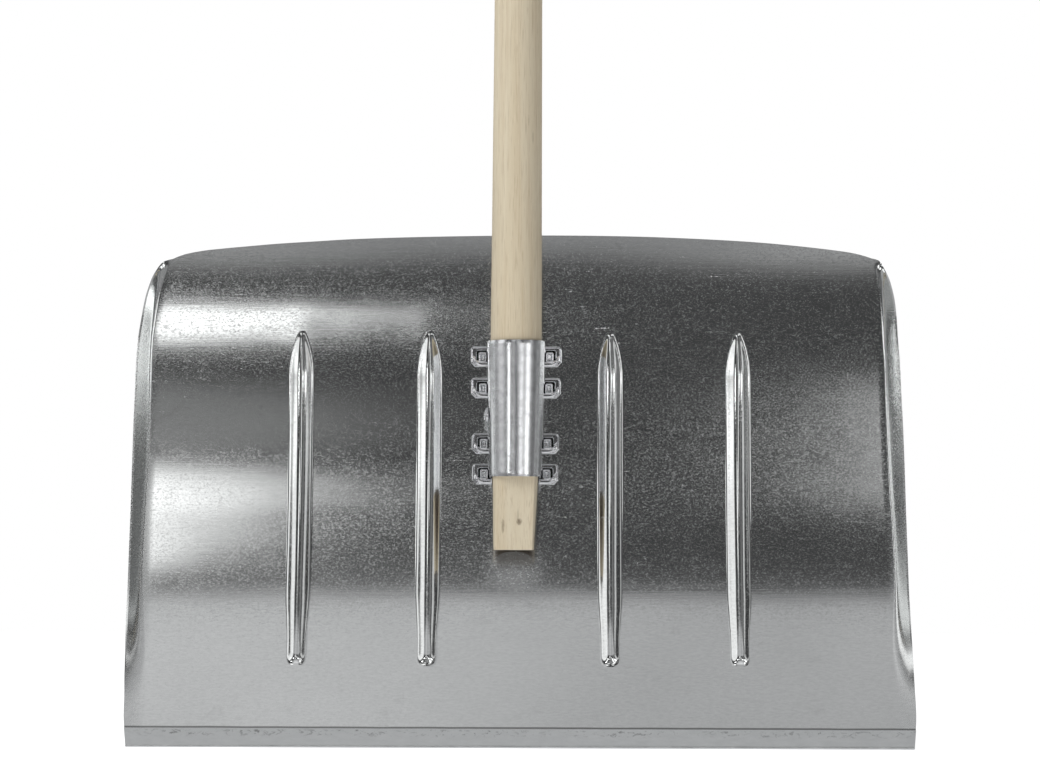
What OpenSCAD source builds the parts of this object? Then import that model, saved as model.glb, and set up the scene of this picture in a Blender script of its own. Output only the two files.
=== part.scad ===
// Snow shovel. A curved aluminium blade with pressed ribs and turned-up side
// walls carries a folded steel wear strip on its lower edge. A tapered steel
// socket is clinched to the blade by eight lugs and holds a wooden handle,
// which one screw locks.
// Frame: Z up along the handle, X across the blade, the scooping side faces -Y.
// The origin is the middle of the wear strip's lower edge, on the ground.

/* [Blade] */
// Width of the blade across its lower edge
blade_w = 550; // [500:5:600]
// Height of the middle of the top edge above the ground
blade_h = 364; // [355:1:375]
// Radius to which the sheet is rolled
curve_r = 520; // [500:5:600]
// Height of the deepest line of the curve
deep_z = 260; // [255:1:268]
// Thickness of the aluminium sheet
sheet_t = 1.5; // [1.2:0.1:2]
// Radius of the arched top edge
arch_r = 3100; // [2600:50:3600]

/* [Side walls] */
// Height of the side walls above the sheet
wall_h = 23; // [16:0.5:28]
// Outward lean of the side walls in degrees
wall_lean = 15; // [8:1:20]

/* [Ribs] */
// Width of a pressed rib
rib_w = 15; // [12:0.5:17]
// Height of a rib above the front of the sheet
rib_h = 4; // [3:0.5:5]
// Distance of the inner ribs from the middle
rib_inner_x = 65; // [60:1:75]
// Distance of the outer ribs from the middle
rib_outer_x = 156.5; // [140:0.5:180]
// Height of the lower end of the ribs
rib_low_z = 60; // [55:1:75]
// Height of the upper end of the ribs
rib_high_z = 292; // [280:1:300]

/* [Wear strip] */
// Height of the strip's legs
strip_h = 13; // [10:0.5:16]
// Thickness of the strip's steel
strip_t = 0.8; // [0.6:0.1:1]

/* [Socket] */
// Height of the socket's lower rim
socket_low_z = 190; // [186:1:192]
// Height of the socket's upper rim
socket_high_z = 286; // [285:1:292]
// Thickness of the socket's steel
socket_t = 1.1; // [0.9:0.1:1.4]
// Height of a lug
lug_h = 15; // [13:0.5:16]
// Reach of a lug from the socket's side
lug_w = 14; // [13:0.5:16]

/* [Handle] */
// Diameter of the handle at the socket's upper rim
shaft_d = 36.2; // [35:0.2:37]
// Diameter of the handle above the blade
grip_d = 34; // [32:0.5:34.5]
// Overall length of the handle
shaft_len = 1300; // [1000:10:1500]
// Height of the handle's lower end
shaft_low_z = 138; // [134:1:144]

/* [Screw] */
// Diameter of the screw head
head_d = 10.6; // [9:0.2:12]
// Height of the screw head
head_h = 3.4; // [2.5:0.1:4]
// Length of the screw in the wood
screw_len = 24; // [16:1:28]

/* [Hidden] */
$fn = 96;

// Clearances
seam = 0.05;          // between sheets that lie on each other
wood_gap = 0.1;       // between the socket and the handle
edge_gap = 1.5;       // between the blade's top edge and the handle
nip = 0.3;            // overlap of neighbouring solids that are joined

// Reach of the cutting shapes behind and in front of the blade, and past its ends
back_reach = 20;
front_reach = 130;
past = 5;

// Blade outline: half widths at the corners of its sides
half_w = blade_w / 2;
ground_inset = 1;
flare_z = 33;         // lower end of the side walls
waist_z = 100;        // below it the walls spread to the lower edge
shoulder_z = 300;     // above it the walls draw in to the top corner
corner_z = 342;       // upper end of the side walls
corner_run = 40;      // the top corner is cut off over this width
corner_step = 6;      // height of the cut's lower end above the side wall
corner_in = 27;       // its distance from the blade's full width
edge_lift = strip_t + 0.2;
crease = [
    [flare_z, half_w + 1],
    [waist_z, half_w - 6],
    [shoulder_z, half_w - 12],
    [corner_z, half_w - 17]
];

// Height of the side wall along the blade
wall_profile = [
    [flare_z, 0], [58, wall_h * 0.4], [waist_z, wall_h * 0.8], [150, wall_h + 1],
    [shoulder_z + 4, wall_h + 1], [328, wall_h * 0.62], [corner_z, 0]
];

// Bead: the rib is a tube of radius bead_r sunk behind the front face
bead_r = (rib_w * rib_w / 4 + rib_h * rib_h) / (2 * rib_h);
bead_c = curve_r - rib_h + bead_r;
bead_bore = bead_r - sheet_t;
rib_xs = [-rib_outer_x, -rib_inner_x, rib_inner_x, rib_outer_x];

// The parts are drawn with the blade's deepest line at y = 0, then moved back by this
fore = depth(0);

// Handle
axis_y = -(depth(blade_h) + edge_gap + shaft_d / 2);
shaft_top = shaft_low_z + shaft_len;
grip_z = 520;         // above this height the handle is a plain cylinder
end_d = 28.6;
end_chamfer = 0.8;
flat_y = 5.5;         // the front of the lower end is planed flat, this far off the axis
flat_lean = 3.7;
flat_len = 66;
rim_r = shaft_d / 2;
low_rim_r = rim_r - 2;
half_box = 60;        // half size of the blocks that trim the socket and the handle
pilot_r = 2.1;

// Lugs: lower edges
lug_zs = [
    socket_low_z - 5, socket_low_z + 17,
    socket_high_z - 39, socket_high_z - 16.5
];
lug_round = 2.5;
slit = 1;
tongue_r = 2.3;
tongue_len = 8;
clinch_w = 8;
clinch_h = 9;
clinch_t = 1.4;

// Screw
screw_z = (socket_low_z + socket_high_z) / 2 - 4.3;
tip_len = 6;
tip_r = 0.3;
screw_r = 2;
head_r = head_d / 2;
dome_r = (head_r * head_r + head_h * head_h) / (2 * head_h);
recess_w = 1.2;
recess_len = 5.6;
recess_d = 1.6;

// Forward offset of the blade's front face at height z
function depth(z) = curve_r - sqrt(curve_r * curve_r - (z - deep_z) * (z - deep_z));

// Angle of height z on the blade's curve
function rise(z) = asin((z - deep_z) / curve_r);

// Radii of the handle and of the socket's outside at height z
function wood_r(z) =
    low_rim_r + (rim_r - low_rim_r) * (z - socket_low_z) / (socket_high_z - socket_low_z);
function sleeve_r(z) = wood_r(z) + wood_gap + socket_t;

module about_bend() {
    translate([0, -curve_r, deep_z]) rotate([0, 90, 0]) children();
}

// Frame on the blade's front face: Y into the sheet, Z up along the curve
module on_curve(x, z) {
    translate([x, -depth(z), z]) rotate([rise(z), 0, 0]) children();
}

// Revolves a cross-section of the blade, drawn as radius and x, between two heights
module rolled(low_z, high_z) {
    low = rise(low_z);
    about_bend() rotate([0, 0, 90 + low])
        rotate_extrude(angle = rise(high_z) - low, $fn = 360) children();
}

// Prism along Y of a front-view outline
module front_prism() {
    translate([0, back_reach, 0]) rotate([90, 0, 0])
        linear_extrude(back_reach + front_reach) children();
}

// Prism along X of a side-view outline
module side_prism(w) {
    rotate([90, 0, 90]) linear_extrude(w, center = true) children();
}

module both_sides() {
    children();
    mirror([1, 0, 0]) children();
}

// Front-view outline of the blade sheet
module blade_outline() {
    right = concat(
        [[half_w - ground_inset, edge_lift]],
        [for (c = crease) [c[1] + sheet_t / 2, c[0]]],
        [[half_w - corner_in, corner_z + corner_step], [half_w - corner_run, blade_h]]
    );
    left = [for (i = [len(right) - 1 : -1 : 0]) [-right[i][0], right[i][1]]];
    intersection() {
        polygon(concat(right, left));
        translate([0, blade_h - arch_r]) circle(r = arch_r, $fn = 720);
    }
}

// Cross-section of the plain sheet
module plain_section() {
    translate([curve_r, -half_w - past]) square([sheet_t, 2 * (half_w + past)]);
}

// Cross-section of a pressed rib; its feet end inside the sheet
module rib_section() {
    difference() {
        intersection() {
            translate([bead_c, 0]) circle(r = bead_r);
            translate([0, -rib_w]) square([curve_r + sheet_t * 0.6, 2 * rib_w]);
        }
        translate([bead_c, 0]) circle(r = bead_bore);
    }
}

// Round end of a rib; dir is 1 at the upper end and -1 at the lower one
module rib_end(x, z, dir) {
    reach = bead_r + 1;
    on_curve(x, z) intersection() {
        translate([0, bead_r - rib_h, 0]) sphere(r = bead_r - nip);
        translate([-reach, -reach, dir > 0 ? -nip : -reach])
            cube([2 * reach, reach + sheet_t * 0.7, reach + nip]);
    }
}

// One stretch of side wall between two points of the crease
module wall_stretch(low, high) {
    lean_x = wall_h * tan(wall_lean);
    skin = sheet_t / cos(wall_lean);
    turn = atan((low[1] - high[1]) / (high[0] - low[0]));
    deep = curve_r + sheet_t / 2;
    free = curve_r - wall_h;
    intersection() {
        translate([low[1], 0, low[0]]) rotate([0, -turn, 0])
            translate([0, 0, -low[0]]) rolled(flare_z - back_reach, corner_z + 2 * past)
            polygon([[deep, 0], [free, lean_x], [free, lean_x + skin], [deep, skin]]);
        side_prism(2 * blade_w) polygon([
            [back_reach, low[0] - nip], [-front_reach, low[0] - nip],
            [-front_reach, high[0] + nip], [back_reach, high[0] + nip]
        ]);
    }
}

module side_wall() {
    rim = [for (p = wall_profile) [-depth(p[0]) - p[1], p[0]]];
    intersection() {
        union() for (i = [0 : len(crease) - 2]) wall_stretch(crease[i], crease[i + 1]);
        side_prism(2 * blade_w) polygon(concat(
            [[past, flare_z]],
            [for (i = [0 : 3]) rim[i]],
            [[-front_reach, wall_profile[3][0]], [-front_reach, wall_profile[4][0]]],
            [for (i = [4 : 6]) rim[i]],
            [[past, corner_z]]
        ));
    }
}

// Places one child at the middle of each lug's root
module at_lugs() {
    for (z = lug_zs) both_sides() on_curve(sleeve_r(z), z + lug_h / 2) children();
}

module blade() color("silver") translate([0, fore, 0]) {
    low = rib_low_z + rib_w / 2;
    high = rib_high_z - rib_w / 2;
    window = rib_w - 1;   // narrower than the rib, whose feet cover its edges
    intersection() {
        rolled(-past, blade_h + past) plain_section();
        front_prism() difference() {
            blade_outline();
            for (x = rib_xs) translate([x - window / 2, low + nip])
                square([window, high - low - 2 * nip]);
        }
    }
    both_sides() side_wall();
    for (x = rib_xs) {
        translate([x, 0, 0]) rolled(low, high) rib_section();
        rib_end(x, low, -1);
        rib_end(x, high, 1);
    }
    // backs of the clinches, set down behind the sheet
    at_lugs() translate([(lug_w - clinch_w) / 2, sheet_t - nip, -clinch_h / 2])
        cube([clinch_w, clinch_t + nip, clinch_h]);
}

module wear_strip() color("lightslategray") translate([0, fore, 0]) {
    inner = curve_r - seam - strip_t;
    outer = curve_r + sheet_t + seam + strip_t;
    intersection() {
        difference() {
            rolled(-2 * past, 2 * strip_h) translate([inner, -blade_w])
                square([outer - inner, 2 * blade_w]);
            intersection() {
                rolled(-3 * past, 3 * strip_h) translate([inner + strip_t, -blade_w])
                    square([outer - inner - 2 * strip_t, 2 * blade_w]);
                translate([-blade_w, -front_reach, strip_t])
                    cube([2 * blade_w, front_reach + back_reach, 4 * strip_h]);
            }
        }
        front_prism() polygon([
            [-half_w + ground_inset + 1, 0], [half_w - ground_inset - 1, 0],
            [half_w, strip_h], [-half_w, strip_h]
        ]);
    }
}

// Front-view outline of a lug, with its two outer corners rounded
module lug_outline() {
    reach = lug_w - lug_round;
    translate([-socket_t, 0]) square([reach + socket_t, lug_h]);
    translate([0, lug_round]) square([lug_w, lug_h - 2 * lug_round]);
    for (z = [lug_round, lug_h - lug_round]) translate([reach, z]) circle(r = lug_round);
}

// Frame of a lug with the slits cut around its tongue
module lug_plate() {
    inset = 2.6;      // width of the frame left round the slits
    difference() {
        lug_outline();
        translate([lug_w - inset - slit, inset + 1]) square([slit, lug_h - 2 * inset]);
        translate([inset + 2, lug_h - inset]) square([lug_w - 2 * inset - 2, slit]);
    }
}

// Tongue of a lug: a short rounded bar that stands up from its face
module tongue() {
    intersection() {
        translate([lug_w / 2 - 0.4, -0.6, -tongue_len / 2]) {
            cylinder(r = tongue_r, h = tongue_len);
            sphere(r = tongue_r);
            translate([0, 0, tongue_len]) sphere(r = tongue_r);
        }
        translate([0, -lug_h - socket_t / 2, -lug_h / 2]) cube([lug_w, lug_h, lug_h]);
    }
}

// Strap round the handle: a half cone in front, straight sides behind
module strap(low, high, grow) {
    translate([0, axis_y, 0]) intersection() {
        translate([0, 0, low])
            cylinder(r1 = sleeve_r(low) + grow, r2 = sleeve_r(high) + grow, h = high - low);
        translate([-half_box, -half_box, 0]) cube([2 * half_box, half_box, high + 1]);
    }
    translate([0, back_reach, 0]) rotate([90, 0, 0]) linear_extrude(back_reach - axis_y) polygon([
        [-sleeve_r(low) - grow, low], [sleeve_r(low) + grow, low],
        [sleeve_r(high) + grow, high], [-sleeve_r(high) - grow, high]
    ]);
}

module socket() color("gainsboro") translate([0, fore, 0]) {
    back_gap = 0.4;   // between the straight sides and the blade
    notch_h = 6;      // the sides stand this far off the blade between the lugs
    span = socket_high_z - socket_low_z;
    difference() {
        intersection() {
            strap(socket_low_z, socket_high_z, 0);
            side_prism(2 * half_box) polygon(concat(
                [[-front_reach, socket_low_z - 1], [-front_reach, socket_high_z + 1]],
                [for (i = [8 : -1 : 0]) let (z = socket_low_z - 1 + (span + 2) * i / 8)
                    [-depth(z) - back_gap, z]]
            ));
        }
        strap(socket_low_z - back_reach, socket_high_z + back_reach, -socket_t);
        for (i = [0 : len(lug_zs) - 2]) let (z = lug_zs[i] + lug_h)
            translate([-half_box, -depth(z) - notch_h, z])
                cube([2 * half_box, notch_h + back_reach, lug_zs[i + 1] - z]);
        translate([-half_box, axis_y, screw_z]) rotate([0, 90, 0])
            cylinder(r = pilot_r, h = half_box);
    }
    at_lugs() translate([0, -seam - 0.05, 0]) {
        translate([0, 0, -lug_h / 2]) rotate([90, 0, 0]) linear_extrude(socket_t) lug_plate();
        tongue();
    }
}

module shaft() color("burlywood") translate([0, fore, 0]) difference() {
    translate([0, axis_y, 0]) {
        translate([0, 0, shaft_low_z])
            cylinder(d1 = end_d - 2 * end_chamfer, d2 = end_d, h = end_chamfer);
        translate([0, 0, shaft_low_z + end_chamfer])
            cylinder(d1 = end_d, r2 = low_rim_r, h = socket_low_z - shaft_low_z - end_chamfer);
        translate([0, 0, socket_low_z])
            cylinder(r1 = low_rim_r, r2 = rim_r, h = socket_high_z - socket_low_z);
        translate([0, 0, socket_high_z])
            cylinder(r1 = rim_r, d2 = grip_d, h = grip_z - socket_high_z);
        translate([0, 0, grip_z])
            cylinder(d = grip_d, h = shaft_top - grip_d / 2 - grip_z);
        translate([0, 0, shaft_top - grip_d / 2]) sphere(d = grip_d);
    }
    translate([0, axis_y - flat_y, shaft_low_z]) rotate([flat_lean, 0, 0])
        translate([-half_box, -half_box, -past]) cube([2 * half_box, half_box, flat_len + past]);
    translate([-half_box, axis_y, screw_z]) rotate([0, 90, 0])
        cylinder(r = pilot_r, h = half_box - wood_r(screw_z) + screw_len + 1);
}

module socket_screw() color("darkgray") translate([0, fore, 0]) {
    under_head = sleeve_r(screw_z) + seam;
    shank = under_head - wood_r(screw_z) + screw_len;
    translate([-under_head, axis_y, screw_z]) rotate([0, 90, 0]) {
        difference() {
            intersection() {
                translate([0, 0, dome_r - head_h]) sphere(r = dome_r);
                translate([0, 0, -head_h]) cylinder(r = head_r + 1, h = head_h);
            }
            for (a = [45, 135]) rotate([0, 0, a])
                translate([-recess_len / 2, -recess_w / 2, -head_h - 1])
                cube([recess_len, recess_w, recess_d + 1]);
        }
        translate([0, 0, -nip]) cylinder(r = screw_r, h = shank - tip_len + nip);
        translate([0, 0, shank - tip_len]) cylinder(r1 = screw_r, r2 = tip_r, h = tip_len);
    }
}

blade();
wear_strip();
socket();
shaft();
socket_screw();
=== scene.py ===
import bpy, math
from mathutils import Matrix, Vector, noise

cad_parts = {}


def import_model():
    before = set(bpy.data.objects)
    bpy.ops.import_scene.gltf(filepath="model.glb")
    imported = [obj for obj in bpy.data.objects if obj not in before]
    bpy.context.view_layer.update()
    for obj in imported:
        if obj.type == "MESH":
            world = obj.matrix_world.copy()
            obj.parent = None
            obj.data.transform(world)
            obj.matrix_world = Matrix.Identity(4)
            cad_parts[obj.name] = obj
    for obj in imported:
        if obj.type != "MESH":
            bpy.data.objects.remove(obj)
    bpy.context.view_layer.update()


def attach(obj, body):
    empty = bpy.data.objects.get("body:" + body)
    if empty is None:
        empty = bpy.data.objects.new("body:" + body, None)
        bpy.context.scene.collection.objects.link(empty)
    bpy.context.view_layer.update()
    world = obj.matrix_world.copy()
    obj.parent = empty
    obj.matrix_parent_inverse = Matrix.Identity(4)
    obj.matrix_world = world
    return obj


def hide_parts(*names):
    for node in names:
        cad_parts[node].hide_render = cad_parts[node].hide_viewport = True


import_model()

MM = 0.001

# ---------------------------------------------------------------- frame of the blade
BEND_R = 0.520          # radius to which the sheet is rolled
DEEP_Z = 0.260          # height at which the sheet lies deepest
FORE = BEND_R - math.sqrt(BEND_R ** 2 - DEEP_Z ** 2)
SHEET = 1.5 * MM
BLADE_H = 0.364
ARCH_R = 3.000          # radius of the arched top edge
TOP_GAP = 1.5 * MM      # handle to the blade's top edge
SHAFT_FULL_R = 18.1 * MM
AXIS_Y = FORE - (BEND_R - math.sqrt(BEND_R ** 2 - (BLADE_H - DEEP_Z) ** 2) + TOP_GAP + SHAFT_FULL_R)
RIBS = (-0.1575, -0.0655, 0.0640, 0.1555)


def lerp(a, b, t):
    return a + (b - a) * t


def smooth(t):
    t = min(max(t, 0.0), 1.0)
    return t * t * (3 - 2 * t)


def table(pairs, z):
    """Value of a table of (z, value), eased between its entries (monotone cubic)."""
    if z <= pairs[0][0]:
        return pairs[0][1]
    if z >= pairs[-1][0]:
        return pairs[-1][1]
    n = len(pairs)
    i = max(k for k in range(n - 1) if pairs[k][0] <= z)

    def slope(k):
        if k <= 0 or k >= n - 1:
            return 0.0 if k >= n - 1 else (pairs[1][1] - pairs[0][1]) / (pairs[1][0] - pairs[0][0])
        a = (pairs[k][1] - pairs[k - 1][1]) / (pairs[k][0] - pairs[k - 1][0])
        b = (pairs[k + 1][1] - pairs[k][1]) / (pairs[k + 1][0] - pairs[k][0])
        return 0.0 if a * b <= 0 else 2 * a * b / (a + b)

    (z0, v0), (z1, v1) = pairs[i], pairs[i + 1]
    h = z1 - z0
    t = (z - z0) / h
    m0, m1 = slope(i) * h, slope(i + 1) * h
    return ((2 * t ** 3 - 3 * t ** 2 + 1) * v0 + (t ** 3 - 2 * t ** 2 + t) * m0
            + (-2 * t ** 3 + 3 * t ** 2) * v1 + (t ** 3 - t ** 2) * m1)


def on_curve(z, out=0.0):
    """(y, z) of a point on the blade's front face at height z, moved forward by out, and the normal."""
    s = (z - DEEP_Z) / BEND_R
    c = math.sqrt(1 - s * s)
    ny, nz = -c, -s
    y = FORE - BEND_R * (1 - c)
    return y + ny * out, z + nz * out, ny, nz


def new_object(name, verts, faces, smooth_angle=35):
    mesh = bpy.data.meshes.new(name)
    mesh.from_pydata(verts, [], faces)
    mesh.update()
    o = bpy.data.objects.new(name, mesh)
    bpy.context.scene.collection.objects.link(o)
    mesh.shade_smooth()
    mesh.set_sharp_from_angle(angle=math.radians(smooth_angle))
    return o


def crisp(o, angle=40):
    """Keeps the edges of the sheet's thickness sharp."""
    split = o.modifiers.new("edges", "EDGE_SPLIT")
    split.split_angle = math.radians(angle)
    return o


def grid_faces(nu, nv, closed_u=False, flip=False):
    """Faces of a grid of nv rows of nu vertices."""
    faces = []
    for j in range(nv - 1):
        for i in range(nu if closed_u else nu - 1):
            a = j * nu + i
            b = j * nu + (i + 1) % nu
            f = (a, b, b + nu, a + nu)
            faces.append(f[::-1] if flip else f)
    return faces


# ---------------------------------------------------------------- blade
# Pairs of height and distance, as table() reads them.
# The fold between the floor of the blade and its side wall, from the middle
CREASE = [(0.0, 0.2720), (0.012, 0.2713), (0.022, 0.2706), (0.031, 0.2700), (0.0436, 0.2694),
          (0.054, 0.2691), (0.069, 0.2688), (0.087, 0.2687), (0.105, 0.2688), (0.131, 0.2686),
          (0.160, 0.2678), (0.190, 0.2663), (0.216, 0.2652), (0.244, 0.2646), (0.273, 0.2640),
          (0.288, 0.2632), (0.317, 0.2610), (0.335, 0.2582), (0.347, 0.2545)]
# The outer edge of the side wall, from the middle
OUTER = [(0.0, 0.2741), (0.012, 0.2757), (0.022, 0.2768), (0.030, 0.2770), (0.0465, 0.2768),
         (0.058, 0.2763), (0.0745, 0.2754), (0.0885, 0.2748), (0.103, 0.2741), (0.132, 0.2737),
         (0.161, 0.2731), (0.190, 0.2727), (0.219, 0.2722), (0.247, 0.2712), (0.275, 0.2701),
         (0.289, 0.2690), (0.304, 0.2677), (0.318, 0.2663), (0.326, 0.2647), (0.333, 0.2628),
         (0.339, 0.2602), (0.343, 0.2587), (0.347, 0.2570)]
# The sides are not quite symmetric: how far the blade's middle stands off centre at each height ...
SWAY = [(0.0, 0.0004), (0.030, 0.0003), (0.048, -0.0002), (0.060, -0.0004), (0.074, -0.0008),
        (0.0885, -0.0011), (0.131, -0.0013), (0.200, -0.0015), (0.245, -0.0018), (0.288, -0.0020),
        (0.303, -0.0014), (0.318, -0.0008), (0.334, -0.0001), (0.346, 0.0006)]
# ... and how far the top edge stands off its arch along x
LEVEL = [(-0.257, -0.0028), (-0.254, -0.0022), (-0.2505, -0.0015), (-0.246, -0.0007),
         (-0.240, -0.0002), (-0.228, -0.0004), (-0.215, -0.0011), (-0.190, -0.0018),
         (-0.156, -0.0018), (-0.120, -0.0013), (-0.049, -0.0011), (0.052, -0.0003), (0.100, 0.0),
         (0.188, 0.0), (0.209, 0.0003), (0.2236, 0.0008), (0.2387, 0.0014), (0.248, 0.0011),
         (0.2537, 0.0002), (0.257, -0.0006)]
# How far the side wall stands forward of the floor
WALL = [(0.018, 0.0), (0.030, 0.0004), (0.044, 0.0018), (0.058, 0.0045), (0.073, 0.0085),
        (0.100, 0.0150), (0.130, 0.0185), (0.160, 0.0215), (0.190, 0.0230), (0.250, 0.0235),
        (0.285, 0.0230), (0.305, 0.0195), (0.320, 0.0130), (0.333, 0.0062), (0.340, 0.0022),
        (0.345, 0.0)]
# How far the fold reaches to each side of the crease
BEND = [(0.030, 0.0060), (0.060, 0.0060), (0.090, 0.0040), (0.130, 0.0016), (0.285, 0.0014),
        (0.305, 0.0020), (0.320, 0.0028), (0.333, 0.0036), (0.347, 0.0040)]
FLOOR_X = 0.205         # the plain floor's columns end here
FOLD_X = 0.2505         # where the fold starts and ends at the top edge
SIDE_X = 0.2570
Z_FOOT = 2.0 * MM       # the sheet's lower edge, inside the wear strip
CORNER_FROM = 0.120     # beyond this the top edge bends down to the corner
CORNER_DROP = 0.0080
RIB_LOW, RIB_HIGH = 0.0585, 0.2925
RIB_REACH = 0.0095      # no rib is wider than this to each side


def top_edge(x):
    """Height of the blade's top edge: arched, with a rounded corner each side."""
    z = BLADE_H + table(LEVEL, x) - (ARCH_R - math.sqrt(ARCH_R ** 2 - x * x))
    x = abs(x)
    if x > CORNER_FROM:
        z -= CORNER_DROP * ((x - CORNER_FROM) / 0.140) ** 3.6
    return z


def rib_bump(x, z):
    """How far a pressed rib stands forward at (x, z)."""
    out = 0.0
    for rx in RIBS:
        dx = x - rx
        if abs(dx) > RIB_REACH or z < RIB_LOW - 0.002 or z > RIB_HIGH:
            continue
        rise = min(max((z - RIB_LOW) / 0.0045, 0.0), 1.0)
        foot = math.sqrt(1 - (1 - rise) ** 2)
        tip = min(max((RIB_HIGH - z) / 0.030, 0.0), 1.0)
        point = math.sin(tip * math.pi / 2) ** 0.75
        half = lerp(0.0066, 0.0082, smooth((z - 0.070) / 0.040)) * lerp(0.22, 1, point)
        height = lerp(0.0030, 0.0042, smooth((z - 0.065) / 0.050)) * point ** 0.8
        if z < RIB_LOW + 0.0045:
            half *= lerp(0.55, 1, foot)
        q = dx / half
        if abs(q) < 1:
            crown = (1 - q * q) ** 1.35
            out = max(out, height * foot * crown)
    return out


def warp(x, z):
    """Slow unevenness of the rolled sheet, and the dishing where it was pressed."""
    p = Vector((x * 6.0, z * 9.0, 3.1))
    w = noise.noise(p) * 0.16 * MM + noise.noise(p * 2.7 + Vector((7, 1, 2))) * 0.035 * MM
    # the sheet lifts a little towards the side walls
    side = min(max((abs(x) - 0.190) / 0.075, 0.0), 1.0)
    w += side ** 2 * 0.12 * MM * smooth((z - 0.10) / 0.06) * smooth((0.345 - z) / 0.03)
    # and is drawn up in front of the ends of the ribs
    for rx in RIBS:
        d2 = ((x - rx) / 0.016) ** 2 + ((z - 0.297) / 0.014) ** 2
        w += 0.09 * MM * math.exp(-d2)
    return w


def steps(points):
    """Unequal steps: (start, end, count) runs joined into one list."""
    out = []
    for a, b, n in points:
        out += [lerp(a, b, i / n) for i in range(n)]
    return out + [points[-1][1]]


def blade():
    # columns: "x" a plain place on the floor, "f" a fraction of the way on to the fold,
    # "w" a fraction of the way round the fold and up the wall
    runs, x = [], 0.0
    for rx in (0.0648, 0.1565):
        runs.append((x, rx - 0.010, max(2, int((rx - 0.010 - x) / 0.005))))
        runs.append((rx - 0.010, rx + 0.010, 26))
        x = rx + 0.010
    runs.append((x, FLOOR_X, 8))
    fixed = steps(runs)
    right = [("x", v) for v in fixed] + [("f", i / 12) for i in range(1, 13)]
    right += [("w", i / 16) for i in range(1, 17)]
    cols = [(k, -v) for k, v in reversed(right)][:-1] + right
    nz = 210
    verts = []
    for j in range(nz + 1):
        v = j / nz
        for kind, c in cols:
            sign = -1.0 if c < 0 else 1.0
            a = abs(c)
            if kind == "x":
                x = a
                z = lerp(Z_FOOT, top_edge(sign * x), v)
                lift = 0.0
            else:
                reach = lerp(FLOOR_X, FOLD_X, a) if kind == "f" else lerp(FOLD_X, SIDE_X, a)
                edge = top_edge(sign * reach)
                edge -= 0.6 * MM * a * a if kind == "w" else 0.0
                z = lerp(Z_FOOT, edge, v)
                wall = max(table(WALL, z), 0.0)
                crease, outer, bend = table(CREASE, z), table(OUTER, z), table(BEND, z)
                run = math.hypot(outer - crease, wall) + 1e-9
                far = min(bend, run * 0.6)
                knee = (crease + (outer - crease) / run * far, wall / run * far)
                start = crease - bend
                if kind == "f":
                    x = lerp(FLOOR_X, start, a)
                    lift = 0.0
                elif a <= 0.5:
                    # round the bend ...
                    t = a * 2
                    x = (1 - t) ** 2 * start + 2 * t * (1 - t) * crease + t * t * knee[0]
                    lift = t * t * knee[1]
                else:
                    # ... and up the wall
                    t = a * 2 - 1
                    x = lerp(knee[0], outer, t)
                    lift = lerp(knee[1], wall, t)
            x *= sign
            if kind != "x":
                x += table(SWAY, z) * (a if kind == "f" else 1.0)
            out = lift + rib_bump(x, z) + (warp(x, z) if kind != "w" else warp(sign * start, z))
            y, zz, _, _ = on_curve(z, out)
            verts.append((x, y, zz))
    o = new_object("blade_sheet", verts, grid_faces(len(cols), nz + 1), 180)
    solid = o.modifiers.new("thickness", "SOLIDIFY")
    solid.thickness = SHEET
    solid.offset = -1
    solid.use_even_offset = False
    return crisp(o)


# ---------------------------------------------------------------- wear strip
STRIP_H = 13.0 * MM
STRIP_T = 0.8 * MM
FIT = 0.05 * MM         # between the strip and the sheet
LIP_R = 0.4 * MM        # rounding of the strip's upper edge
FOLD_H = 1.7 * MM       # height at which the strip's lower fold begins
CUT_H = 1.3 * MM
STRIP_LOW, STRIP_HIGH = 0.2742, 0.2760
STRIP_ASIDE = 0.4 * MM
ON_FLOOR = 0.00002      # lowest point of the strip


def wear_strip():
    front, back = FIT + STRIP_T, -(SHEET + FIT + STRIP_T)
    mid = (front + back) / 2
    half = (front - back) / 2
    loop = []
    for i in range(6):
        a = math.pi / 2 * i / 5
        loop.append((front - STRIP_T / 2 + STRIP_T / 2 * math.cos(a),
                     STRIP_H - LIP_R + LIP_R * math.sin(a)))
    loop.reverse()
    for i in range(1, 9):
        loop.append((front, lerp(STRIP_H - LIP_R, FOLD_H, i / 9)))
    for i in range(9):
        a = math.pi * i / 8
        loop.append((mid + half * math.cos(a), FOLD_H - 1.5 * MM * math.sin(a)))
    for i in range(1, 6):
        loop.append((back, lerp(FOLD_H, STRIP_H - LIP_R, i / 6)))
    loop.append((back, STRIP_H))
    loop.append((back + STRIP_T, STRIP_H))
    loop.append((back + STRIP_T, CUT_H))
    loop.append((front - STRIP_T, CUT_H))
    n = len(loop)
    cols = 240
    verts, faces = [], []
    for i in range(cols + 1):
        t = i / cols * 2 - 1
        for out, z in loop:
            x = t * lerp(STRIP_LOW, STRIP_HIGH, min(z / STRIP_H, 1.0)) + STRIP_ASIDE
            wave = noise.noise(Vector((x * 22, z * 60, 5.0))) * 0.10 * MM if out > -0.5 * MM else 0.0
            dent = 0.0
            if out > 0.5 * MM and 6 * MM < z < 12 * MM:
                dent = -0.10 * MM * max(0.0, noise.noise(Vector((x * 160, z * 120, 1.0))))
            y, zz, _, _ = on_curve(z, out + wave + dent)
            verts.append((x, y, max(zz, ON_FLOOR)))
    for i in range(cols):
        for k in range(n):
            a, b = i * n + k, i * n + (k + 1) % n
            faces.append((a, b, b + n, a + n))
    faces.append(tuple(range(n - 1, -1, -1)))
    faces.append(tuple(cols * n + k for k in range(n)))
    return new_object("wear_strip_fold", verts, faces, 50)


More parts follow.
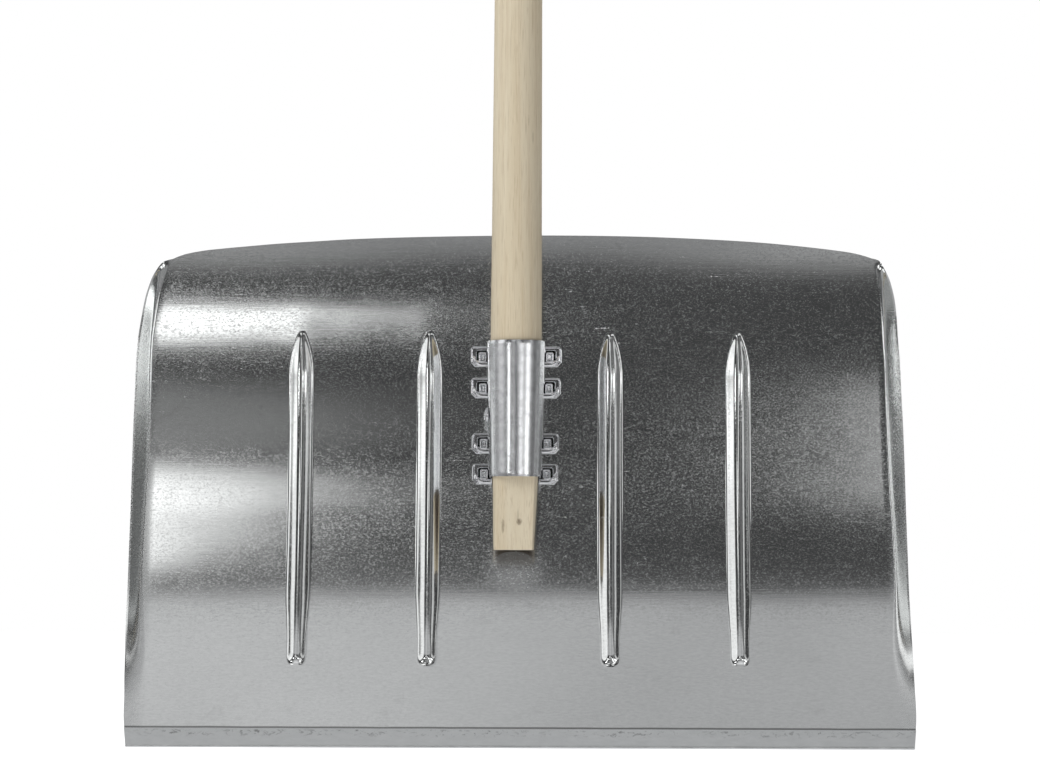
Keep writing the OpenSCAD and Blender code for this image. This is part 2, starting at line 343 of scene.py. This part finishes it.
# ---------------------------------------------------------------- socket
SHAFT_LOW, SHAFT_TOP = 0.138, 1.438
LOW_Z, HIGH_Z = 0.190, 0.286        # the socket's lower and upper end


def aside(z):
    """The handle and its socket are fitted a little to the left, most at the handle's lower end."""
    lean = -3.8 * MM * (SHAFT_TOP - z) / (SHAFT_TOP - SHAFT_LOW)
    return lean - 0.8 * MM * smooth((LOW_Z - z) / (LOW_Z - SHAFT_LOW))


STRAP_T = 1.1 * MM
LUG_W, LUG_H = 14 * MM, 15 * MM
LUGS = (0.185, 0.207, 0.247, 0.2695)


def sleeve_r(z):
    """Inner radius of the socket's tapered sleeve."""
    return lerp(17.3 * MM, 19.3 * MM, (z - LOW_Z) / (HIGH_Z - LOW_Z))


def skirt_gap(z):
    """How far the strap's back edge stays off the blade: little at the lugs, more between them."""
    near = min(abs(z - (l + LUG_H / 2)) for l in LUGS) - LUG_H / 2
    return lerp(0.5 * MM, 5.0 * MM, smooth(near / (1.2 * MM)))


def sleeve():
    rows, arc = 110, 56
    verts = []
    for j in range(rows + 1):
        z = lerp(LOW_Z, HIGH_Z, j / rows)
        r = sleeve_r(z)
        y_back = on_curve(z, skirt_gap(z))[0]
        ring = []
        for i in range(7):
            ring.append((-r, lerp(y_back, AXIS_Y, i / 7)))
        for i in range(arc + 1):
            a = math.pi * i / arc
            ring.append((-r * math.cos(a), AXIS_Y - r * math.sin(a)))
        for i in range(1, 8):
            ring.append((r, lerp(AXIS_Y, y_back, i / 7)))
        edge = min(z - LOW_Z, HIGH_Z - z)
        flare = 0.25 * MM * smooth(1 - edge / (2.0 * MM))
        for x, y in ring:
            k = noise.noise(Vector((x * 90, y * 90, z * 26))) * 0.10 * MM - flare
            d = Vector((x, min(y - AXIS_Y, 0.0), 0))
            d.normalize()
            verts.append((x + d.x * k + aside(z), y + d.y * k, z))
    o = new_object("socket_sleeve", verts, grid_faces(len(ring), rows + 1), 40)
    solid = o.modifiers.new("thickness", "SOLIDIFY")
    solid.thickness = STRAP_T
    solid.offset = 1
    return crisp(o)


def box_field(u, w, cu, cw, hu, hw, r):
    """Signed distance to a box with rounded corners."""
    du, dw = abs(u - cu) - hu + r, abs(w - cw) - hw + r
    return math.hypot(max(du, 0), max(dw, 0)) + min(max(du, dw), 0) - r


def lug_window(u, w):
    """Signed distance to the opening round the tongue, in mm."""
    return box_field(u, w, 4.4, 6.4, 5.5, 5.8, 1.8)


def lug_height(u, w):
    """Height of a lug above the blade, u across from the strap and w up from its foot, in mm."""
    outline = box_field(u, w, 5.5, 7.5, 8.4, 7.4, 2.6)
    cut = ((u - 13.9) - (w - 3.2)) / math.sqrt(2)
    outline = max(outline, cut)
    if outline > 0.6:
        return -0.9
    plate = 1.1
    # thin raised lip along the rim of the frame
    plate += 0.22 * math.exp(-((outline + 0.7) / 0.45) ** 2)
    # window: a slit above and outside the tongue, kept just above the blade; its faces carry a near-black
    # material as painted shade
    pad = box_field(u, w, 5.3, 7.0, 3.3, 4.2, 1.9)
    window = lug_window(u, w)
    if window < 0 and w > 3.2:
        plate = lerp(plate, 0.12, smooth(-window / 0.7))
    # tongue: a raised loop round a shallow dish
    if pad < 0:
        ridge = 1.75 * math.exp(-((pad + 1.15) / 0.95) ** 2)
        plate = max(plate, lerp(0.3, 1.15 + ridge, smooth(-pad / 0.45)))
    # raised lower rim that sweeps up to the outer corner
    sweep = 2.1 + 0.055 * max(u - 5.0, 0.0) ** 2.2
    d = abs(w - sweep)
    if d < 1.9 and u < 12.4:
        rim = 1.2 + 1.55 * math.sqrt(1 - (d / 1.9) ** 2) * smooth((12.4 - u) / 2.5)
        plate = max(plate, rim)
    # bend up into the strap
    if u < 2.4:
        bend = 2.4 * (1 - math.sqrt(max(0.0, 1 - (1 - max(u, 0.0) / 2.4) ** 2)))
        if w > 10.6 or w < 4.2:
            plate = max(plate, 1.0 + bend)
    return lerp(plate, -0.9, smooth((outline + 0.25) / 0.5))


def lugs():
    verts, faces, gaps = [], [], []
    step = 0.26 * MM
    nu, nw = int((LUG_W + 2.4 * MM) / step), int((LUG_H + 1.2 * MM) / step)
    for side in (-1, 1):
        for k, z0 in enumerate(LUGS):
            base = len(verts)
            root = sleeve_r(z0 + LUG_H / 2)
            turn = noise.noise(Vector((k * 3.7, side * 2.1, 0))) * 0.05
            for j in range(nw + 1):
                for i in range(nu + 1):
                    u, w = -1.6 * MM + i * step, -0.6 * MM + j * step
                    h = lug_height(u / MM, w / MM) * MM
                    x = side * (root + u - 0.3 * MM)
                    z = z0 + w + (u - LUG_W / 2) * turn
                    y, zz, _, _ = on_curve(z, h)
                    verts.append((x + aside(z), y, zz))
            for j in range(nw):
                for i in range(nu):
                    u, w = (-1.6 * MM + (i + 0.5) * step) / MM, (-0.6 * MM + (j + 0.5) * step) / MM
                    # faces in the slit are marked for the second material, a near-black painted shade
                    gaps.append(lug_height(u, w) < 0.55 and lug_window(u, w) < 0)
            faces += [tuple(base + q for q in f) for f in grid_faces(nu + 1, nw + 1, flip=side > 0)]
    o = new_object("socket_lugs", verts, faces, 180)
    for face, gap in zip(o.data.polygons, gaps):
        face.material_index = 1 if gap else 0
    return o


def clinch_backs():
    """Where the lugs are pressed through, the back of the blade carries low rounded pads."""
    verts, faces = [], []
    n = 26
    for side in (-1, 1):
        for z0 in LUGS:
            base = len(verts)
            cx, cz = side * (sleeve_r(z0 + LUG_H / 2) + LUG_W / 2), z0 + LUG_H / 2
            for j in range(n + 1):
                for i in range(n + 1):
                    u, w = lerp(-5.2, 5.2, i / n), lerp(-5.7, 5.7, j / n)
                    d = box_field(u, w, 0, 0, 4.0, 4.5, 1.6)
                    h = -0.6 + 1.9 * smooth((0.5 - d) / 1.3)
                    h -= 0.9 * smooth((-d - 1.8) / 0.5) * (1 if w > -1.5 else 0.4)
                    y, zz, _, _ = on_curve(cz + w * MM, -SHEET - h * MM)
                    verts.append((cx + side * u * MM + aside(zz), y, zz))
            faces += [tuple(base + q for q in f) for f in grid_faces(n + 1, n + 1, flip=side < 0)]
    return new_object("blade_clinch_backs", verts, faces, 180)


SCREW_Z = 0.2337
HEAD_R, HEAD_H = 5.3, 2.8           # in mm


def screw():
    """Round head with a cross recess, against the left of the socket, and its shank."""
    z0 = SCREW_Z
    x0 = -(sleeve_r(z0) + STRAP_T) - 0.1 * MM
    y0 = AXIS_Y
    seg = 40
    # pairs of radius and height above the socket, in mm
    profile = [(2.0, -9.0), (2.0, 0.0), (5.15, 0.0), (HEAD_R, 0.25), (HEAD_R, 0.6)]
    for i in range(1, 14):
        a = math.pi / 2 * i / 14
        profile.append((HEAD_R * math.cos(a), 0.6 + HEAD_H * math.sin(a)))
    verts = []
    for r, h in profile:
        for i in range(seg):
            a = 2 * math.pi * i / seg
            u, v = r * math.cos(a), r * math.sin(a)
            arm = min(max(abs(u) - 0.55, abs(v) - 2.6), max(abs(v) - 0.55, abs(u) - 2.6))
            deep = 1.5 * smooth(-arm / 0.5) if h > 1.0 else 0.0
            verts.append((x0 - (h - deep) * MM + aside(z0), y0 + u * MM, z0 + v * MM))
    faces = grid_faces(seg, len(profile), closed_u=True)
    verts.append((x0 - 1.9 * MM + aside(z0), y0, z0))
    last = (len(profile) - 1) * seg
    faces += [(last + i, last + (i + 1) % seg, len(verts) - 1) for i in range(seg)]
    faces.append(tuple(range(seg - 1, -1, -1)))
    return new_object("screw_round_head", verts, faces, 35)


# ---------------------------------------------------------------- handle
GRIP_R = 17.0 * MM
# Pairs of height and radius
SHAFT_R = [(SHAFT_LOW, 14.3 * MM), (LOW_Z, 16.1 * MM), (HIGH_Z, SHAFT_FULL_R), (0.520, GRIP_R),
           (SHAFT_TOP, GRIP_R)]
PLANED = 5.5 * MM                   # the flat's distance from the axis at the lower end
PLANED_LEAN = math.radians(3.7)
PLANED_TO = 0.204                   # height at which the flat ends
EASED = 0.5 * MM


def handle():
    seg = 128
    heights = [SHAFT_LOW, SHAFT_LOW + 0.4 * MM]
    z = SHAFT_LOW + 1.2 * MM
    while z < SHAFT_TOP - GRIP_R:
        heights.append(z)
        z += 3.0 * MM if z < 0.21 else 8.0 * MM
    dome = [math.pi / 2 * i / 14 for i in range(15)]
    verts = []

    def ring(z, r):
        for i in range(seg):
            a = 2 * math.pi * i / seg
            k = r * (1 + 0.004 * noise.noise(Vector((math.cos(a), math.sin(a), z * 9))))
            k = min(k, r)
            x, y = k * math.cos(a), k * math.sin(a)
            if z < PLANED_TO:
                plane = -(PLANED + (z - SHAFT_LOW) * math.tan(PLANED_LEAN))
                if y < plane:
                    y = plane - EASED * (1 - math.exp((y - plane) / (6 * MM)))
            verts.append((x + aside(z), AXIS_Y + y, z))

    for k, z in enumerate(heights):
        r = SHAFT_R[0][1]
        for (z0, r0), (z1, r1) in zip(SHAFT_R, SHAFT_R[1:]):
            if z0 <= z <= z1:
                r = lerp(r0, r1, (z - z0) / (z1 - z0))
        ring(z, r - (0.6 * MM if k == 0 else 0.15 * MM if k == 1 else 0))
    for a in dome[:-1]:
        ring(SHAFT_TOP - GRIP_R + GRIP_R * math.sin(a), GRIP_R * math.cos(a))
    rows = len(verts) // seg
    faces = grid_faces(seg, rows, closed_u=True)
    verts.append((0, AXIS_Y, SHAFT_TOP))
    top = len(verts) - 1
    faces += [((rows - 1) * seg + i, (rows - 1) * seg + (i + 1) % seg, top) for i in range(seg)]
    faces.append(tuple(range(seg - 1, -1, -1)))
    return new_object("handle_turned", verts, faces, 40)


# ---------------------------------------------------------------- materials
class Nodes:
    """A short way to write shader nodes."""

    def __init__(self, name):
        self.mat = bpy.data.materials.new(name)
        self.mat.use_nodes = True
        self.t = self.mat.node_tree
        self.bsdf = self.t.nodes["Principled BSDF"]
        self.coord = self.t.nodes.new("ShaderNodeTexCoord").outputs["Object"]

    def node(self, kind, **sockets):
        n = self.t.nodes.new(kind)
        for key, value in sockets.items():
            self.put(n, key, value)
        return n

    def put(self, n, key, value):
        by_place = key[0] == "i" and key[1:].isdigit()
        socket = n.inputs[int(key[1:]) if by_place else key.replace("_", " ")]
        if isinstance(value, bpy.types.NodeSocket):
            self.t.links.new(value, socket)
        else:
            socket.default_value = value

    def scaled(self, scale, shift=(0, 0, 0)):
        n = self.node("ShaderNodeMapping", Vector=self.coord, Scale=scale, Location=shift)
        return n.outputs[0]

    def noise(self, scale, size=1.0, detail=3.0, rough=0.5, warp=0.0, shift=(0, 0, 0)):
        n = self.node("ShaderNodeTexNoise", Vector=self.scaled(scale, shift), Scale=size,
                      Detail=detail, Roughness=rough, Distortion=warp)
        return n.outputs["Fac"]

    def ramp(self, fac, *stops):
        n = self.node("ShaderNodeValToRGB", Fac=fac)
        e = n.color_ramp.elements
        while len(e) < len(stops):
            e.new(0.5)
        for el, (pos, col) in zip(e, stops):
            el.position = pos
            el.color = col
        return n.outputs["Color"]

    def math(self, op, a, b=0.0, clamp=False):
        n = self.node("ShaderNodeMath", i0=a, i1=b)
        n.operation = op
        n.use_clamp = clamp
        return n.outputs[0]

    def mix(self, fac, a, b):
        n = self.t.nodes.new("ShaderNodeMix")
        n.data_type = "RGBA"
        for socket, value in ((n.inputs[0], fac), (n.inputs[6], a), (n.inputs[7], b)):
            if isinstance(value, bpy.types.NodeSocket):
                self.t.links.new(value, socket)
            else:
                socket.default_value = (*value, 1) if isinstance(value, tuple) else value
        return n.outputs[2]

    def bump(self, height, strength, distance, normal=None):
        n = self.node("ShaderNodeBump", Height=height, Strength=strength, Distance=distance)
        if normal is not None:
            self.t.links.new(normal, n.inputs["Normal"])
        return n.outputs["Normal"]

    def fade(self, value, start, end):
        """0 where value is start, 1 where it is end, and a straight line between."""
        return self.node("ShaderNodeMapRange", Value=value, From_Min=start, From_Max=end).outputs[0]

    def marks(self, scale, start, end, detail=2, rough=0.5, warp=0.0, shift=(0, 0, 0)):
        """Noise cut down to separate marks: none below start, full above end."""
        fac = self.noise(scale, 1.0, detail, rough, warp, shift)
        return self.ramp(fac, (start, grey(0)), (end, grey(1)))


def grey(v):
    return (v, v, v, 1)


def blade_metal():
    m = Nodes("mill_aluminium")
    fine = m.noise((16, 16, 1100), 1.0, 3, 0.6)
    lines = m.noise((13, 13, 330), 1.0, 3, 0.6)
    mottle = m.noise((60, 60, 90), 1.0, 5, 0.65)
    grit = m.noise((620, 620, 900), 1.0, 3, 0.6)
    cloud = m.noise((7, 7, 9), 1.0, 3, 0.5)
    speck = m.marks((210, 210, 950), 0.64, 0.74, 2, 0.6, shift=(3, 1, 2))
    wear = m.ramp(m.noise((9, 9, 12), 1.0, 3, 0.6, shift=(1, 7, 4)), (0.42, grey(0.30)), (0.62, grey(1)))
    scratch = m.marks((40, 40, 700), 0.70, 0.76, 2, 0.5, 0.3, (5, 5, 1))
    scuff = m.marks((700, 700, 40), 0.72, 0.78, 2, 0.5, 0.3, (2, 4, 9))
    stain = m.marks((30, 30, 60), 0.60, 0.74, 5, 0.7, 0.4, (8, 2, 2))
    salt = m.marks((260, 260, 1000), 0.35, 0.65, 2, 0.6, shift=(4, 6, 1))
    marks = m.math("MULTIPLY", m.math("ADD", speck, m.math("ADD", scratch, scuff)), wear, clamp=True)

    tone = m.ramp(cloud, (0.3, grey(0)), (0.7, grey(1)))
    tone = m.mix(tone, (0.79, 0.805, 0.80), (0.86, 0.875, 0.87))
    tone = m.mix(m.math("MULTIPLY", stain, 0.22), tone, (0.45, 0.45, 0.44))
    tone = m.mix(m.math("MULTIPLY", salt, 0.22), tone, (0.55, 0.56, 0.56))

    # painted shadow: a dark line in the gap where the wear strip's upper edge meets the sheet, a little
    # uneven
    x, y, z = m.node("ShaderNodeSeparateXYZ", Vector=m.coord).outputs
    wander = m.math("MULTIPLY", m.math("SUBTRACT", m.noise((25, 1, 1), 1.0, 2), 0.5), 0.0008)
    seam_shadow = m.math("ABSOLUTE", m.math("SUBTRACT", m.math("ADD", z, wander), 0.0138))
    seam_shadow = m.fade(seam_shadow, 0.0009, 0.0003)
    tone = m.mix(m.math("MULTIPLY", seam_shadow, 0.75), tone, (0.08, 0.08, 0.08))
    m.put(m.bsdf, "Base Color", tone)
    m.put(m.bsdf, "Metallic", 1.0)

    # a duller spot where the handle's end rubs, and duller side edges
    rx = m.math("DIVIDE", m.math("ADD", x, 0.0038), 0.026)
    rz = m.math("DIVIDE", m.math("SUBTRACT", z, 0.126), 0.022)
    rub = m.math("ADD", m.math("MULTIPLY", rx, rx), m.math("MULTIPLY", rz, rz))
    rub = m.math("SUBTRACT", 1.0, rub, clamp=True)
    side = m.fade(m.math("ABSOLUTE", x), 0.2610, 0.2710)
    dull = m.ramp(grit, (0.48, grey(0)), (0.66, grey(1)))
    rough = 0.050
    for part, share in ((mottle, 0.06), (fine, 0.04), (marks, 0.11),
                        (dull, 0.10), (rub, 0.10), (side, 0.17)):
        rough = m.math("ADD", m.math("MULTIPLY", part, share), rough)
    m.put(m.bsdf, "Roughness", rough)
    n = m.bump(fine, 0.06, 0.00010)
    n = m.bump(lines, 0.07, 0.00014, n)
    n = m.bump(grit, 0.03, 0.00005, n)
    n = m.bump(marks, 0.07, 0.00008, n)
    m.put(m.bsdf, "Normal", n)
    return m.mat


def zinc(name, dark=0.68, light=0.86, dull=0.22):
    m = Nodes(name)
    grain = m.noise((220, 220, 220), 1.0, 4, 0.6)
    streak = m.noise((500, 500, 40), 1.0, 3, 0.55)
    tone = m.ramp(grain, (0.3, grey(0)), (0.7, grey(1)))
    tone = m.mix(tone, (dark, dark * 1.01, dark * 1.03), (light, light * 1.01, light * 1.03))
    m.put(m.bsdf, "Base Color", tone)
    m.put(m.bsdf, "Metallic", 1.0)
    m.put(m.bsdf, "Roughness", m.math("ADD", m.math("MULTIPLY", streak, 0.06), dull))
    m.put(m.bsdf, "Normal", m.bump(grain, 0.015, 0.0003))
    return m.mat


def strip_metal():
    m = Nodes("galvanised_strip")
    z = m.node("ShaderNodeSeparateXYZ", Vector=m.coord).outputs["Z"]
    grain = m.noise((90, 90, 260), 1.0, 4, 0.6)
    # dark marks along the upper half of the strip, thinned out in places
    marks = m.marks((210, 210, 380), 0.54, 0.64, 3, 0.65, 0.8)
    patch = m.ramp(m.noise((20, 20, 1), 1.0, 3, 0.6), (0.38, grey(0.2)), (0.58, grey(1)))
    marks = m.math("MULTIPLY", marks, patch)
    marks = m.math("MULTIPLY", marks, m.fade(z, 0.0072, 0.0092))
    marks = m.math("MULTIPLY", marks, m.fade(z, 0.0128, 0.0118))
    tone = m.ramp(grain, (0.3, grey(0)), (0.7, grey(1)))
    tone = m.mix(tone, (0.74, 0.76, 0.76), (0.84, 0.86, 0.86))
    tone = m.mix(m.math("MULTIPLY", marks, 0.7), tone, (0.22, 0.22, 0.22))
    m.put(m.bsdf, "Base Color", tone)
    m.put(m.bsdf, "Metallic", 1.0)
    m.put(m.bsdf, "Roughness", m.math("ADD", m.math("MULTIPLY", grain, 0.25), 0.20))
    n = m.bump(grain, 0.08, 0.0003)
    m.put(m.bsdf, "Normal", m.bump(marks, 0.3, 0.0002, n))
    return m.mat


KNOTS = [
    # place across, place up, half width, half height, strength: two knots and short dark streaks
    (-0.0006, 0.1580, 0.0020, 0.0024, 0.8),
    (-0.0122, 0.1550, 0.0012, 0.0050, 0.6),
    (-0.0016, 0.1620, 0.0010, 0.0060, 0.3),
    (0.0080, 0.4300, 0.0006, 0.0050, 0.25),
    (0.0050, 0.4420, 0.0006, 0.0040, 0.2),
    (0.0030, 0.4360, 0.0005, 0.0040, 0.2),
]


def wood():
    m = Nodes("beech")
    x, y, z = m.node("ShaderNodeSeparateXYZ", Vector=m.coord).outputs
    rings = m.noise((70, 70, 3.2), 1.0, 4, 0.55, 0.6)
    fleck = m.marks((900, 900, 90), 0.60, 0.72)
    pores = m.marks((1600, 1600, 60), 0.56, 0.68)
    lines = m.marks((420, 420, 7), 0.50, 0.66, 3, 0.6, 0.3)
    tone = m.ramp(rings, (0.35, grey(0)), (0.65, grey(1)))
    tone = m.mix(tone, (0.635, 0.565, 0.430), (0.580, 0.497, 0.358))
    tone = m.mix(m.math("MULTIPLY", lines, 0.30), tone, (0.46, 0.35, 0.225))
    tone = m.mix(m.math("MULTIPLY", fleck, 0.30), tone, (0.70, 0.61, 0.46))
    tone = m.mix(m.math("MULTIPLY", pores, 0.35), tone, (0.34, 0.25, 0.16))
    ragged = m.math("MULTIPLY", m.math("SUBTRACT", m.noise((900, 900, 500), 1.0, 3), 0.5), 1.6)
    front = m.fade(y, AXIS_Y, AXIS_Y - 0.002)
    for across, up, half_w, half_h, power in KNOTS:
        u = m.math("DIVIDE", m.math("SUBTRACT", x, across), half_w)
        v = m.math("DIVIDE", m.math("SUBTRACT", z, up), half_h)
        r = m.math("ADD", m.math("MULTIPLY", u, u), m.math("MULTIPLY", v, v))
        spot = m.fade(m.math("ADD", r, ragged), 1.3, 0.1)
        spot = m.math("MULTIPLY", m.math("MULTIPLY", spot, power), front)
        tone = m.mix(spot, tone, (0.16, 0.12, 0.08))
    # painted shade: darker on the back of the lower end, towards the blade; the end grain is dark in
    # itself and darkened further as painted shade
    low = m.fade(z, 0.215, 0.180)
    back = m.fade(y, AXIS_Y + 0.0005, AXIS_Y + 0.006)
    end = m.fade(z, SHAFT_LOW + 0.00012, SHAFT_LOW + 0.00002)
    # painted shade on the back of the handle's lower end
    tone = m.mix(m.math("MULTIPLY", low, back), tone, (0.13, 0.10, 0.075))
    # end grain: its own darker tone, deepened as painted shade
    tone = m.mix(end, tone, (0.14, 0.13, 0.12))
    m.put(m.bsdf, "Base Color", tone)
    m.put(m.bsdf, "Roughness", 0.62)
    m.put(m.bsdf, "Specular IOR Level", 0.35)
    m.put(m.bsdf, "Normal", m.bump(pores, 0.25, 0.0002))
    return m.mat


# ---------------------------------------------------------------- stage, light and camera
def world():
    w = bpy.data.worlds.new("studio")
    bpy.context.scene.world = w
    w.use_nodes = True
    t = w.node_tree
    t.nodes.clear()

    def link(a, b):
        t.links.new(a, b)

    def calc(op, a, b=0.0, clamp=False):
        n = t.nodes.new("ShaderNodeMath")
        n.operation = op
        n.use_clamp = clamp
        for i, v in enumerate((a, b)):
            if isinstance(v, bpy.types.NodeSocket):
                link(v, n.inputs[i])
            else:
                n.inputs[i].default_value = v
        return n.outputs[0]

    coord = t.nodes.new("ShaderNodeTexCoord")
    split = t.nodes.new("ShaderNodeSeparateXYZ")
    link(coord.outputs["Generated"], split.inputs[0])
    dx, dy, dz = split.outputs
    elev = calc("MULTIPLY", calc("ARCSINE", dz), 180 / math.pi)
    azim = calc("MULTIPLY", calc("ARCTAN2", dx, calc("MULTIPLY", dy, -1.0)), 180 / math.pi)

    def by_elevation(stops):
        """A gradient from straight down to straight up; stops are pairs of degrees and brightness."""
        n = t.nodes.new("ShaderNodeValToRGB")
        link(calc("ADD", calc("DIVIDE", elev, 180.0), 0.5), n.inputs["Fac"])
        e = n.color_ramp.elements
        while len(e) < len(stops):
            e.new(0.5)
        for el, (deg, v) in zip(e, stops):
            el.position = deg / 180 + 0.5
            el.color = (v, v, v * 1.015, 1)
        return n.outputs["Color"]

    # behind the object the studio has its own gradient, brighter on the right than on the left
    back = t.nodes.new("ShaderNodeMapRange")
    back.inputs["From Min"].default_value = -0.15
    back.inputs["From Max"].default_value = 0.45
    link(dy, back.inputs["Value"])
    lean = calc("ADD", dx, 1.05)
    behind = t.nodes.new("ShaderNodeVectorMath")
    behind.operation = "SCALE"
    link(by_elevation(BEHIND), behind.inputs[0])
    link(lean, behind.inputs["Scale"])
    mix = t.nodes.new("ShaderNodeMix")
    mix.data_type = "RGBA"
    link(back.outputs[0], mix.inputs[0])
    link(by_elevation(GRADIENT), mix.inputs[6])
    link(behind.outputs[0], mix.inputs[7])

    # soft panels, added to the gradients
    total = None
    for az, el, wa, we, shape, soft, power in PANELS:
        u = calc("ABSOLUTE", calc("DIVIDE", calc("SUBTRACT", azim, az), wa))
        v = calc("ABSOLUTE", calc("DIVIDE", calc("SUBTRACT", elev, el), we))
        d = calc("POWER", calc("ADD", calc("POWER", u, shape), calc("POWER", v, shape)), 1.0 / shape)
        s = calc("DIVIDE", calc("SUBTRACT", 1.0 + soft, d), soft, clamp=True)
        s = calc("MULTIPLY", calc("MULTIPLY", s, s), power)
        total = s if total is None else calc("ADD", total, s)
    add = t.nodes.new("ShaderNodeMix")
    add.data_type = "RGBA"
    add.blend_type = "ADD"
    add.inputs[0].default_value = 1.0
    link(mix.outputs[2], add.inputs[6])
    tint = t.nodes.new("ShaderNodeCombineColor")
    for i in range(3):
        link(total, tint.inputs[i])
    link(tint.outputs[0], add.inputs[7])

    # mirrors see the studio, matt surfaces an even light, the camera plain white
    studio = t.nodes.new("ShaderNodeBackground")
    link(add.outputs[2], studio.inputs["Color"])
    plain = t.nodes.new("ShaderNodeBackground")
    plain.inputs["Color"].default_value = (1, 1, 1, 1)
    plain.inputs["Strength"].default_value = 1.0
    even = t.nodes.new("ShaderNodeBackground")
    even.inputs["Color"].default_value = (AMBIENT, AMBIENT, AMBIENT, 1)
    path = t.nodes.new("ShaderNodeLightPath")
    matt = t.nodes.new("ShaderNodeMixShader")
    link(path.outputs["Is Diffuse Ray"], matt.inputs[0])
    link(studio.outputs[0], matt.inputs[1])
    link(even.outputs[0], matt.inputs[2])
    pick = t.nodes.new("ShaderNodeMixShader")
    link(path.outputs["Is Camera Ray"], pick.inputs[0])
    link(matt.outputs[0], pick.inputs[1])
    link(plain.outputs[0], pick.inputs[2])
    out = t.nodes.new("ShaderNodeOutputWorld")
    link(pick.outputs[0], out.inputs[0])


GRADIENT = [(-90, 0.90), (-40, 0.80), (-22, 0.34), (-16, 0.25), (-14.4, 0.15), (-12.8, 0.058), (0, 0.050),
            (15, 0.048), (28, 0.055), (33.4, 0.070), (35.0, 0.47), (44, 0.44), (60, 0.42), (90, 0.5)]
BEHIND = [(-90, 0.50), (-30, 0.14), (0, 0.085), (31, 0.10), (38, 0.28), (55, 0.42), (90, 0.6)]
PANELS = [
    # azimuth, elevation, half width, half height, power of the outline, softness, strength
    (-11, -4.3, 7.6, 3.1, 2, 0.12, 1.6),
    (-5.4, -6.1, 3.3, 1.0, 2, 0.18, 1.2),
    (-6.0, -14.2, 2.6, 1.6, 2, 0.9, 0.20),
    (6.2, -14.2, 2.6, 1.8, 2, 0.9, 0.22),
    (-10.3, 22.4, 4.8, 8.0, 2.8, 0.28, 1.35),
    (-5.6, 19.0, 2.2, 2.8, 2, 0.6, 0.55),
    (10.3, 12, 4.2, 10.8, 4, 0.07, 0.95),
    (-8.5, 9, 4.5, 5.0, 2, 0.8, 0.20),
    (-29.5, 0.4, 2.4, 6.0, 4, 0.15, 5.5),
    (-80, 0, 36, 12, 4, 0.2, 0.34),
    (23.5, -4, 8.7, 8.5, 4, 0.04, 1.6),
    (50, -4, 9, 8.5, 4, 0.06, 2.1),
    (36.5, -4, 4.0, 8.5, 4, 0.1, 0.35),
    (75, 0, 24, 10, 4, 0.4, 0.12),
    (118, 2, 16, 10, 4, 0.5, 0.90),
    (38, 22, 9, 15, 4, 0.3, 0.13),
    (-62, 20, 15, 16, 4, 0.2, 0.95),
    (64, 18, 6, 12, 4, 0.4, 0.6),
    (-8, 50, 5, 14, 2, 1.5, 0.16),
]
AMBIENT = 0.135


def light(name, place, aim, size, power):
    data = bpy.data.lights.new(name, "AREA")
    data.shape = "RECTANGLE"
    data.size, data.size_y = size
    data.energy = power
    o = bpy.data.objects.new(name, data)
    bpy.context.scene.collection.objects.link(o)
    o.location = place
    o.rotation_mode = "QUATERNION"
    o.rotation_quaternion = (Vector(aim) - Vector(place)).to_track_quat("-Z", "Y")
    o.visible_glossy = False
    return o


def floor():
    s = 6.0
    o = new_object("floor", [(-s, -s, 0), (s, -s, 0), (s, s, 0), (-s, s, 0)], [(0, 1, 2, 3)])
    m = Nodes("paper")
    m.put(m.bsdf, "Base Color", (0.86, 0.86, 0.86, 1))
    m.put(m.bsdf, "Roughness", 0.9)
    m.put(m.bsdf, "Specular IOR Level", 0.0)
    m.put(m.bsdf, "Emission Color", (1, 1, 1, 1))
    m.put(m.bsdf, "Emission Strength", 0.90)
    o.data.materials.append(m.mat)
    o.visible_glossy = False


def camera():
    data = bpy.data.cameras.new("camera")
    o = bpy.data.objects.new("camera", data)
    bpy.context.scene.collection.objects.link(o)
    bpy.context.scene.camera = o
    data.sensor_width = 36
    data.lens = 125.6
    o.location = (0.0, FORE - 2.6, 0.1128)
    o.rotation_euler = (math.radians(90 + 3.09), math.radians(-0.217), 0)
    data.clip_start, data.clip_end = 0.05, 50


# ---------------------------------------------------------------- build
def take(o, node, material):
    o.data.materials.append(material)
    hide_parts(node)
    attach(o, "root")


metal = blade_metal()
take(blade(), "blade", metal)
take(clinch_backs(), "blade", metal)
galvanised = zinc("galvanised")
take(wear_strip(), "wear_strip", strip_metal())
take(sleeve(), "socket", galvanised)
ears = lugs()
take(ears, "socket", zinc("galvanised_lugs", 0.66, 0.82, 0.09))
# painted shade: near-black metal for the slit faces of the lugs
ears.data.materials.append(zinc("shaded_gap", 0.05, 0.09))
take(handle(), "shaft", wood())
take(screw(), "socket_screw", zinc("zinc_plated", 0.66, 0.82))

world()
floor()
light("key_left", (-1.6, -1.6, 1.7), (0, 0, 0.3), (1.2, 1.6), 34)
light("fill_top", (0.2, -0.6, 2.4), (0, 0, 0.2), (2.0, 2.0), 1.5)
camera()
scene = bpy.context.scene
scene.view_settings.view_transform = "Standard"
scene.view_settings.look = "None"
